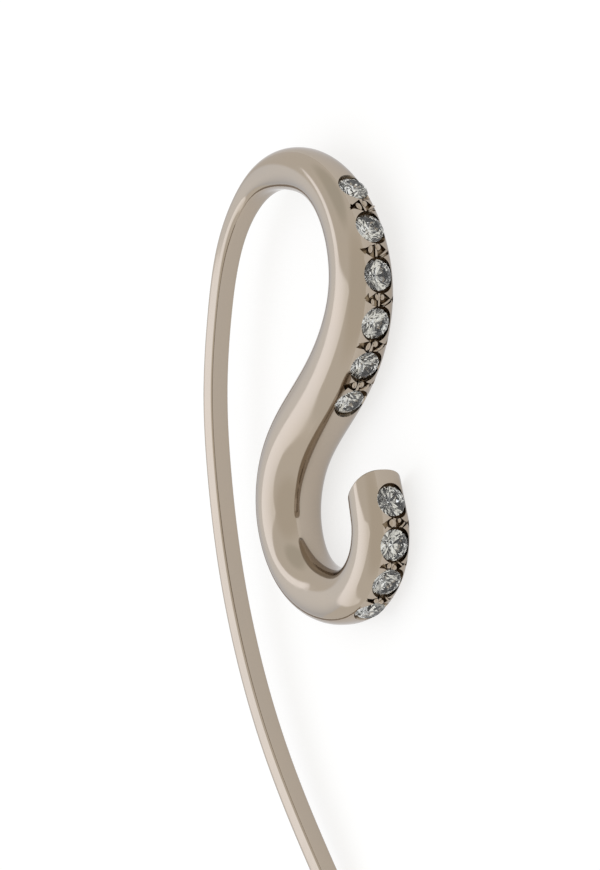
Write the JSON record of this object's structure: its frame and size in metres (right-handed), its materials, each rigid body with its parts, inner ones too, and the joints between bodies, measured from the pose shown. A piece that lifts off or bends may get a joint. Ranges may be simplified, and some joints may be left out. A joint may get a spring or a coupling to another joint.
{
  "type": "hook earring",
  "caption": "Hook earring: a thin flat ear wire rolls over into a round metal S whose curled tip ends in a flat cut, with brilliants set flush along its front.",
  "frame": {"origin": "on the floor under the middle of the bounding box, the hook lying on its flank as it rests", "axes": "+X towards the front of the hook where the stones are, +Y up as it is worn, +Z up from the floor across the flanks"},
  "size_m": [0.0184, 0.0374, 0.0034],
  "materials": {
    "gold": "polished pale champagne gold, bright cuts and grains between the stones",
    "diamond": "clear round brilliants, polished facets"
  },
  "bodies": {
    "root": {"ear_hook": "gold", "stone_01": "diamond", "stone_02": "diamond", "stone_03": "diamond", "stone_04": "diamond", "stone_05": "diamond", "stone_06": "diamond", "stone_07": "diamond", "stone_08": "diamond", "stone_09": "diamond", "stone_10": "diamond"}
  },
  "joints": []
}
